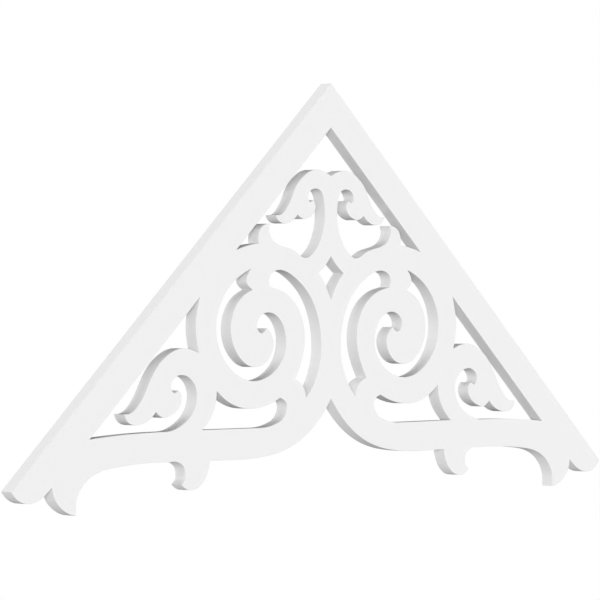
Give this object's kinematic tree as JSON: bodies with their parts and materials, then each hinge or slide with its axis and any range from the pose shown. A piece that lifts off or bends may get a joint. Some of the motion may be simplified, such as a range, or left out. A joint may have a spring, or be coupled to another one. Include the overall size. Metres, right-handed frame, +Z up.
{
  "type": "gable pediment",
  "caption": "Flat openwork gable pediment cut from white sheet, with sloping rake bands over mirrored scrolls, curled leaves and hanging feet, fixed under a gable peak.",
  "frame": {"origin": "on the back face, on the centre line, in the solid web between the diamond and the peak of the arch, where the pediment is held to the gable; 225 mm above the springing line and 473.5 mm below the apex", "axes": "+X to the right seen from the front, +Y out of the back towards the wall, so that the front faces -Y, and +Z up"},
  "size_m": [1.524, 0.0254, 0.7435],
  "materials": {
    "white_sheet": "smooth satin white"
  },
  "bodies": {
    "root": {"gable_pediment": "white_sheet"}
  },
  "joints": []
}
